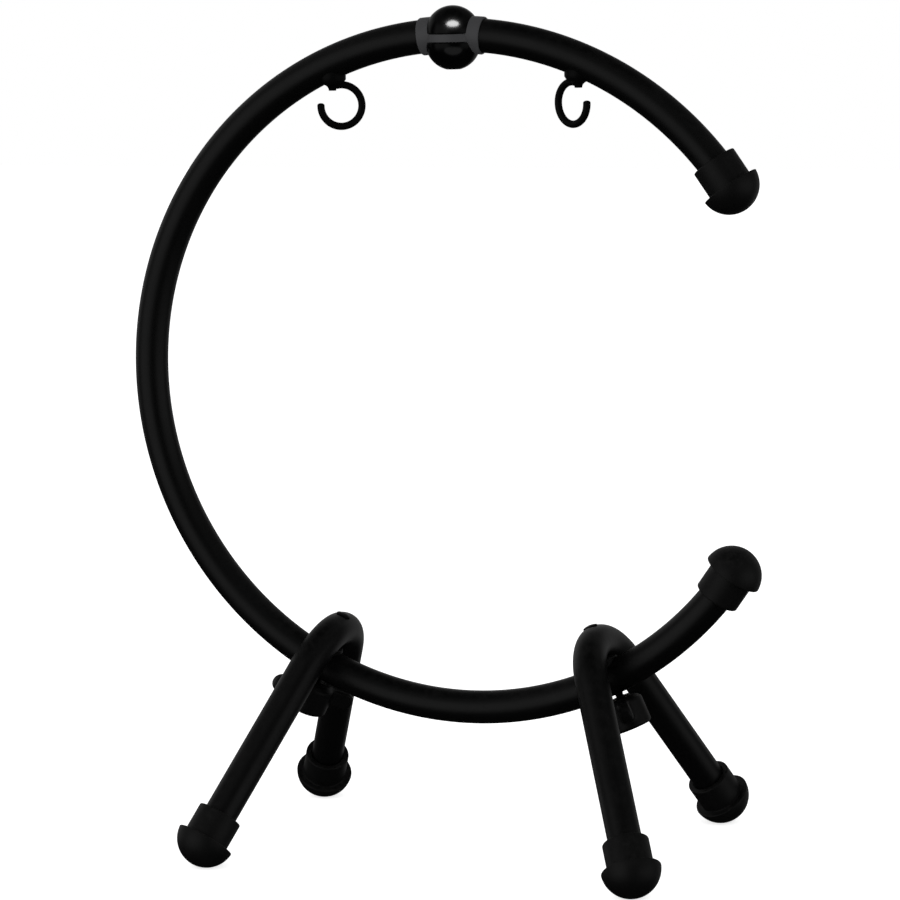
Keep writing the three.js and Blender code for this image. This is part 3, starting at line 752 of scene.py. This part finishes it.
def knob_rows():
    """Rays from the middle of the wings meet the knob's surface. They crowd together towards
    the wings: turn = u − 0.4·sin 2u round the knob, and tilt = 0.45·v + 0.55·v³ up and down.
    The blind bore for the stud and its insert comes first, from its floor up."""
    u = np.linspace(0, 2 * math.pi, AROUND_KNOB, endpoint=False)
    turn = u - 0.4 * np.sin(2 * u)
    mouth = INSERT_RADIUS + CLEARANCE
    first = math.atan2(mouth + KNOB_MOUTH_DROP, WING_DROP) / (math.pi / 2) - 1
    v = np.linspace(-1, 1, 400)
    crowded = 0.45 * v + 0.55 * v**3
    v = np.linspace(np.interp(first, crowded, v), 1, KNOB_ROWS)[:-1, None]
    tilt = (math.pi / 2) * (1 + 0.45 * v + 0.55 * v**3)
    circle = np.stack([np.cos(turn), np.sin(turn)], -1)
    around, up = np.broadcast_arrays(np.sin(tilt)[..., None] * circle, np.cos(tilt)[..., None])
    direction = np.concatenate([around, up[..., :1]], -1)
    surface = meeting(np.array([0, 0, -WING_DROP]), direction, knob_field, 2 * WING_REACH)
    hole = STUD_RADIUS + CLEARANCE
    floor = -KNOB_HEIGHT + KNOB_FLOOR
    seat = -INSERT_LENGTH - CLEARANCE
    bore = np.array([
        (AXIS_GAP, floor), (hole, floor), (hole, seat), (mouth, seat), (mouth, -KNOB_MOUTH_DROP)])
    heights = np.broadcast_to(bore[:, 1:, None], (len(bore), len(turn), 1))
    wall = np.concatenate([bore[:, :1, None] * circle, heights], -1)
    return np.concatenate([wall, surface])


def clamp_knobs():
    rows = knob_rows()
    for side in SIDES:
        origin, axes = leg_place(side)
        turn = KNOB_TURNS[side]
        across = axes[0] * math.cos(turn) + axes[1] * math.sin(turn)
        place = origin + axes[2] * KNOB_TOP, np.array([across, np.cross(axes[2], across), axes[2]])
        skin, node = closed_skin(moved(rows, place)), f"clamp_knob_{side}"
        make_piece(f"{side}-clamp-knob", skin, MOULDED, "moulded_plastic", f"knob_{side}", node)


# Ball

def ball_place():
    return ring_place(TOP_ANGLE, RING_RADIUS - BALL_DROP)


def ball_domes():
    """Two quarter-round shells over the band's edges. The lower one has a pocket for the head
    of the screw."""
    base = BAND_HEIGHT / 2
    angle = np.linspace(0, math.pi / 2, SHELL_ROWS)[1:-1]
    arc = BALL_RADIUS * np.stack([np.cos(angle), np.sin(angle)], -1) + (0, base)
    flat = (BALL_RADIUS * SHELL_FLAT_SHARE, base)
    edge = softened([flat, (BALL_RADIUS, base), arc[1]], SHELL_EDGE_SOFTNESS)[:-1]
    upper = np.concatenate([[(AXIS_GAP, base)], edge, arc[1:]])
    skin = closed_skin(turned(upper, ball_place()))
    above = make_piece("upper-ball-shell", skin, GLOSS, "gloss_plastic", "ring", "ball_dome_upper")

    recess = BALL_SCREW_HEAD_RADIUS + CLEARANCE
    lowest = base + BALL_RADIUS
    arc = arc[arc[:, 0] > recess + 0.4 * MM]
    top, floor = lowest - 1.5 * BALL_SCREW_SOFTNESS, lowest - BALL_SCREW_POCKET
    rim = softened([arc[-1], (recess, top), (recess, floor)], BALL_SCREW_SOFTNESS)
    inside, outside = [(AXIS_GAP, base)], [(AXIS_GAP, floor)]
    lower = np.concatenate([inside, edge, arc[1:-1], rim, outside]) * (1, -1)
    skin = closed_skin(turned(lower, ball_place()))
    below = make_piece("lower-ball-shell", skin, GLOSS, "gloss_plastic", "ring", "ball_dome_lower")
    return above, below


def ball_band():
    """The band round the ball and the sleeve on the tube: one turned disc, and one hollow bar
    along the ring with eased ends."""
    half = BAND_HEIGHT / 2 - CLEARANCE
    corners = [(AXIS_GAP, -half), (BAND_RADIUS, -half), (BAND_RADIUS, half), (AXIS_GAP, half)]
    points, faces = closed_skin(turned(softened(corners, BAND_SOFTNESS), ball_place()))

    reach = SLEEVE_LENGTH / 2 / RING_RADIUS
    outer = TUBE_RADIUS + CLEARANCE + SLEEVE_WALL
    ease = SLEEVE_EDGE_EASE / RING_RADIUS
    angle = np.concatenate([
        [-reach, -reach, -reach + ease],
        np.linspace(-reach + 2 * ease, reach - 2 * ease, SLEEVE_STATIONS),
        [reach - ease, reach, reach],
    ])
    inner = TUBE_RADIUS + CLEARANCE / 2
    radius = np.full(len(angle), outer)
    radius[[0, -1]] = inner + 0.1 * MM
    radius[[1, -2]] = outer - SLEEVE_EDGE_EASE
    radius[[2, -3]] = outer - 0.08 * MM
    angle = np.concatenate([angle, angle[::-1][[0, -1]]])
    radius = np.concatenate([radius, [inner, inner]])
    stations, travel = ring_line(TOP_ANGLE + angle)
    sleeve_points, sleeve_faces = hollow_skin(bar(stations, travel, Y, radius))
    sleeve_faces = np.array(outward(sleeve_points, sleeve_faces)) + len(points)
    skin = np.concatenate([points, sleeve_points]), outward(points, faces) + sleeve_faces.tolist()
    make_piece("ball-band", skin, BAND, "satin_band", "ring", "ball_core")


def ball_screw():
    """A screw head with a six-sided socket, whose radius is flat / cos(turn from the middle of
    its side)."""
    seat = -BAND_HEIGHT / 2 - BALL_RADIUS + BALL_SCREW_RECESS
    turn = np.linspace(0, 2 * math.pi, AROUND_CAP, endpoint=False)
    socket = SOCKET_HALF_FLAT / np.cos((turn + math.pi / 6) % (math.pi / 3) - math.pi / 6)
    head = BALL_SCREW_HEAD_RADIUS
    profile = softened([
        (head * 0.6, seat), (head, seat), (head, seat + BALL_SCREW_HEAD_HEIGHT),
        (BALL_SCREW_RADIUS, seat + BALL_SCREW_HEAD_HEIGHT), (BALL_SCREW_RADIUS, BALL_RADIUS),
    ], BALL_SCREW_SOFTNESS)
    rows = turned(profile, ball_place())
    hexagon = np.stack([socket * np.cos(turn), socket * np.sin(turn), 0 * turn], -1)
    deep = Z * (seat + SOCKET_DEPTH)
    inner = np.stack([hexagon * (0.05, 0.05, 0) + deep, hexagon + deep, hexagon + Z * seat])
    skin = closed_skin(np.concatenate([moved(inner, ball_place()), rows]))
    make_piece("ball-screw", skin, BLACK_ZINC, "black_zinc", "ring", "ball_screw")


# Hooks

def hook_route():
    """The wire's centreline in its own plane, with its travel and radius: down the shank,
    round a tight bend, and round the loop to a rounded tip. The weld swells the shank's root,
    wire + flare·(1 − cos a) at the height foot + height·sin a, and spreads onto the tube."""
    reach = HOOK_LOOP_RADIUS + HOOK_BEND_RADIUS
    aside = HOOK_BEND_RADIUS - HOOK_LOOP_OFFSET
    bend_height = -HOOK_LOOP_DROP + math.sqrt(reach**2 - aside**2)
    join = math.acos(aside / reach)
    flare = WELD_RADIUS - HOOK_WIRE_RADIUS
    rise = np.linspace(math.pi / 2, 0, 12)
    root_height = -WELD_FOOT_DROP + WELD_HEIGHT * np.sin(rise)
    root_height = np.concatenate([[-HOOK_SHANK_TOP, -TUBE_RADIUS], root_height])
    spread = np.full(2, WELD_RADIUS + WELD_SPREAD)
    root_radius = np.concatenate([spread, HOOK_WIRE_RADIUS + flare * (1 - np.cos(rise))])
    down = np.stack([0 * root_height, root_height], -1)
    down_travel = np.tile([0.0, -1.0], (len(down), 1))
    angle = np.linspace(math.pi, math.pi + join, 22)
    bend = HOOK_BEND_RADIUS * np.stack([1 + np.cos(angle), np.sin(angle)], -1) + (0, bend_height)
    bend_travel = np.stack([-np.sin(angle), np.cos(angle)], -1)
    angle = np.linspace(join, math.pi / 2 + HOOK_TIP_ANGLE - 2 * math.pi, LOOP_STATIONS)[1:]
    loop = HOOK_LOOP_RADIUS * np.stack([np.cos(angle), np.sin(angle)], -1)
    loop += (HOOK_LOOP_OFFSET, -HOOK_LOOP_DROP)
    loop_travel = np.stack([np.sin(angle), -np.cos(angle)], -1)
    swing = np.linspace(0, math.pi / 2, 8)[1:-1, None]
    tip = loop[-1] + loop_travel[-1] * HOOK_TIP_LENGTH * np.sin(swing)
    tip_travel = np.repeat(loop_travel[-1:], len(tip), axis=0)
    stations = np.concatenate([down, bend, loop, tip])
    travel = np.concatenate([down_travel, bend_travel, loop_travel, tip_travel])
    plain = np.full(len(bend) + len(loop), HOOK_WIRE_RADIUS)
    radius = np.concatenate([root_radius, plain, HOOK_WIRE_RADIUS * np.cos(swing[:, 0])])
    return stations, travel, radius


def hooks():
    stations, travel, radius = hook_route()
    for side, way in zip(SIDES, (-1, 1)):
        origin, _ = ring_place(TOP_ANGLE - way * HOOK_POSITION)
        turn = HOOK_TURN if side == "left" else math.pi - HOOK_TURN
        along = np.array([math.cos(turn), math.sin(turn), 0])
        plane = np.array([along, Z])
        across = np.cross(along, Z)
        rows = bar(origin + stations @ plane, travel @ plane, across, radius, AROUND_HOOK)
        make_piece(f"{side}-hook", closed_skin(rows), WIRE_COAT, "powder_coat", "ring", f"hook_{side}")


ring_tube()
ring_caps()
leg_frames()
saddle_pads()
clamp_studs()
washers_and_inserts()
clamp_knobs()
upper_shell, lower_shell = ball_domes()
ball_band()
ball_screw()
hooks()


# Studio

VIEW_AZIMUTH = math.radians(19.64)
VIEW_ELEVATION = math.radians(6.686)
VIEW_ROLL = math.radians(-0.9494)
VIEW_DISTANCE = 2100.7 * MM
IMAGE_SIZE = 900
FOCAL_PIXELS = 3699
CENTRE_PIXEL = (461.3, 374.7)
SENSOR_WIDTH = 36

FLOOR_REACH = 6.0
FLOOR_COLOUR = (0.8, 0.8, 0.8, 1)
FLOOR_GLOW = 0.75
WORLD_LEVEL = 0.6
LAMP_DISTANCE = 2.2
SHELL_LAMP_DISTANCE = 0.5

# The room that gloss shows, as (bearing, half width, height, half height, level) of each box
ROOM_LEVEL = 0.01
BOX_SOFTNESS = math.radians(9)
ROOM_BOXES = [
    (-30, 33, 4, 27, 0.3),
    (82, 32, -2, 20, 0.24),
    (175, 32, 0, 27, 0.2),
    (-130, 42, 10, 20, 0.28),
    (0, 190, 45, 15, 0.07),
]


def from_bearing(azimuth, elevation):
    """The way to a bearing round the stand; 0 is the front and 90 degrees the right."""
    level = math.cos(elevation)
    return Vector((math.sin(azimuth) * level, -math.cos(azimuth) * level, math.sin(elevation)))


def photo_camera():
    """The photograph's viewpoint. The view is turned a little from the ring's middle, so that
    the middle comes to its pixel."""
    back = from_bearing(VIEW_AZIMUTH, VIEW_ELEVATION)
    level = Vector((math.cos(VIEW_AZIMUTH), math.sin(VIEW_AZIMUTH), 0))
    upright = back.cross(level)
    right = math.cos(VIEW_ROLL) * level + math.sin(VIEW_ROLL) * upright
    up = math.cos(VIEW_ROLL) * upright - math.sin(VIEW_ROLL) * level
    place = Vector(ring_centre) + back * VIEW_DISTANCE
    aside = (CENTRE_PIXEL[0] - IMAGE_SIZE / 2) / FOCAL_PIXELS
    above = (IMAGE_SIZE / 2 - CENTRE_PIXEL[1]) / FOCAL_PIXELS
    back = (back + aside * right + above * up).normalized()
    right = (right - right.dot(back) * back).normalized()
    data = bpy.data.cameras.new("photo camera")
    data.sensor_width = SENSOR_WIDTH
    data.lens = FOCAL_PIXELS * SENSOR_WIDTH / IMAGE_SIZE
    data.clip_end = 50
    camera = bpy.data.objects.new("photo camera", data)
    bpy.context.scene.collection.objects.link(camera)
    turn = Matrix((right, back.cross(right), back)).transposed().to_4x4()
    camera.matrix_world = Matrix.Translation(place) @ turn
    bpy.context.scene.camera = camera


def seen_directly(tree):
    """1 for rays from the camera and through glass, and 0 for all others; and 1 for rays that
    gloss sends on."""
    rays = tree.nodes.new("ShaderNodeLightPath")
    direct = math_node(tree, "MAXIMUM", rays.outputs["Is Camera Ray"], rays.outputs["Is Transmission Ray"])
    return direct, rays.outputs["Is Glossy Ray"]


def room_group():
    """The room that gloss shows: soft boxes by bearing and height, over a dim ground level. A
    box fades out over its softness: its level times a smooth step in each direction."""
    group, _, result = new_group("room in gloss", {}, {"Level": "NodeSocketFloat"})
    surface = group.nodes.new("ShaderNodeNewGeometry")
    way = group.nodes.new("ShaderNodeSeparateXYZ")
    group.links.new(surface.outputs["Incoming"], way.inputs["Vector"])
    to_right = math_node(group, "MULTIPLY", way.outputs["X"], -1.0)
    bearing = math_node(group, "ARCTAN2", to_right, way.outputs["Y"])
    height = math_node(group, "MULTIPLY", math_node(group, "ARCSINE", way.outputs["Z"]), -1.0)
    total = ROOM_LEVEL
    for azimuth, half_width, elevation, half_height, level in ROOM_BOXES:
        turned_away = math_node(group, "SUBTRACT", bearing, math.radians(azimuth))
        turned_away = math_node(group, "WRAP", turned_away, math.pi, -math.pi)
        above = math_node(group, "SUBTRACT", height, math.radians(elevation))
        across = window(group, turned_away, math.radians(half_width))
        upright = window(group, above, math.radians(half_height))
        both = math_node(group, "MULTIPLY", across, upright)
        total = math_node(group, "MULTIPLY_ADD", both, level, total)
    group.links.new(total, result.inputs["Level"])
    return group


def window(tree, angle, half):
    """1 within an angle, and 0 beyond it, with a soft edge."""
    size = math_node(tree, "ABSOLUTE", angle)
    step = tree.nodes.new("ShaderNodeMapRange")
    step.interpolation_type = "SMOOTHSTEP"
    tree.links.new(size, step.inputs["Value"])
    step.inputs["From Min"].default_value = half - BOX_SOFTNESS
    step.inputs["From Max"].default_value = half + BOX_SOFTNESS
    step.inputs["To Min"].default_value = 1.0
    step.inputs["To Max"].default_value = 0.0
    return step.outputs["Result"]


def plain_floor():
    """A matt floor with a glow of its own for the camera. Gloss shows the room in its place."""
    mesh = bpy.data.meshes.new("floor")
    corners = FLOOR_REACH * np.array([(-1, -1, 0), (1, -1, 0), (1, 1, 0), (-1, 1, 0)])
    mesh.from_pydata(corners.tolist(), [], [(0, 1, 2, 3)])
    paint = bpy.data.materials.new("white floor")
    paint.use_nodes = True
    paint.cycles.emission_sampling = "NONE"
    tree = paint.node_tree
    tree.nodes.remove(tree.nodes["Principled BSDF"])
    lit = tree.nodes.new("ShaderNodeBsdfDiffuse")
    lit.inputs["Color"].default_value = FLOOR_COLOUR
    direct, glossy = seen_directly(tree)
    glow = tree.nodes.new("ShaderNodeEmission")
    tree.links.new(math_node(tree, "MULTIPLY", direct, FLOOR_GLOW), glow.inputs["Strength"])
    shown = tree.nodes.new("ShaderNodeAddShader")
    tree.links.new(lit.outputs[0], shown.inputs[0])
    tree.links.new(glow.outputs[0], shown.inputs[1])
    reflected = tree.nodes.new("ShaderNodeEmission")
    tree.links.new(add_group(tree, room_in_gloss).outputs["Level"], reflected.inputs["Strength"])
    either = tree.nodes.new("ShaderNodeMixShader")
    tree.links.new(glossy, either.inputs["Fac"])
    tree.links.new(shown.outputs[0], either.inputs[1])
    tree.links.new(reflected.outputs[0], either.inputs[2])
    tree.links.new(either.outputs[0], tree.nodes["Material Output"].inputs["Surface"])
    mesh.materials.append(paint)
    floor = bpy.data.objects.new("floor", mesh)
    bpy.context.scene.collection.objects.link(floor)


def studio_world():
    world = bpy.data.worlds.new("studio")
    world.use_nodes = True
    tree = world.node_tree
    background = tree.nodes["Background"]
    background.inputs["Color"].default_value = (1, 1, 1, 1)
    direct, glossy = seen_directly(tree)
    room = add_group(tree, room_in_gloss).outputs["Level"]
    level = remap(tree, direct, 0.0, 1.0, remap(tree, glossy, 0.0, 1.0, WORLD_LEVEL, room), 1.0)
    tree.links.new(level, background.inputs["Strength"])
    world.cycles.sampling_method = "NONE"
    bpy.context.scene.world = world


def soft_box(name, azimuth, elevation, width, height, radiance):
    """A square lamp that looks at the ring's middle from a bearing. Its power is its radiance
    times π and its area."""
    away = from_bearing(math.radians(azimuth), math.radians(elevation))
    data = bpy.data.lights.new(name, "AREA")
    data.shape = "RECTANGLE"
    data.size, data.size_y = width, height
    data.energy = radiance * math.pi * width * height
    lamp = bpy.data.objects.new(name, data)
    bpy.context.scene.collection.objects.link(lamp)
    lamp.visible_camera = False
    lamp.visible_glossy = False
    lamp.location = Vector(ring_centre) + away * LAMP_DISTANCE
    lamp.rotation_mode = "QUATERNION"
    lamp.rotation_quaternion = away.to_track_quat("Z", "Y")
    return lamp


def shell_lamp(name, shell, elevation, width, height, radiance):
    """A lamp that only one shell of the ball shows, as a highlight above or below the band."""
    away = from_bearing(VIEW_AZIMUTH, math.radians(elevation))
    data = bpy.data.lights.new(name, "AREA")
    data.shape = "ELLIPSE"
    data.size, data.size_y = width, height
    data.energy = radiance * math.pi * width * height * math.pi / 4
    lamp = bpy.data.objects.new(name, data)
    bpy.context.scene.collection.objects.link(lamp)
    lamp.visible_camera = False
    lamp.visible_diffuse = False
    lamp.location = Vector(ball_place()[0]) + away * SHELL_LAMP_DISTANCE
    lamp.rotation_mode = "QUATERNION"
    lamp.rotation_quaternion = away.to_track_quat("Z", "Y")
    shown_by = bpy.data.collections.new(name)
    shown_by.objects.link(shell)
    lamp.light_linking.receiver_collection = shown_by


room_in_gloss = room_group()
photo_camera()
plain_floor()
studio_world()
soft_box("left box", -50, 35, 1.6, 1.2, 1.6)
soft_box("right box", 70, 40, 1.2, 1.2, 1.2)
shell_lamp("shell window", upper_shell, 41, 0.44, 0.23, 46)
shell_lamp("shell glow", lower_shell, -35, 0.7, 0.3, 0.65)

bpy.context.scene.view_settings.view_transform = "Standard"
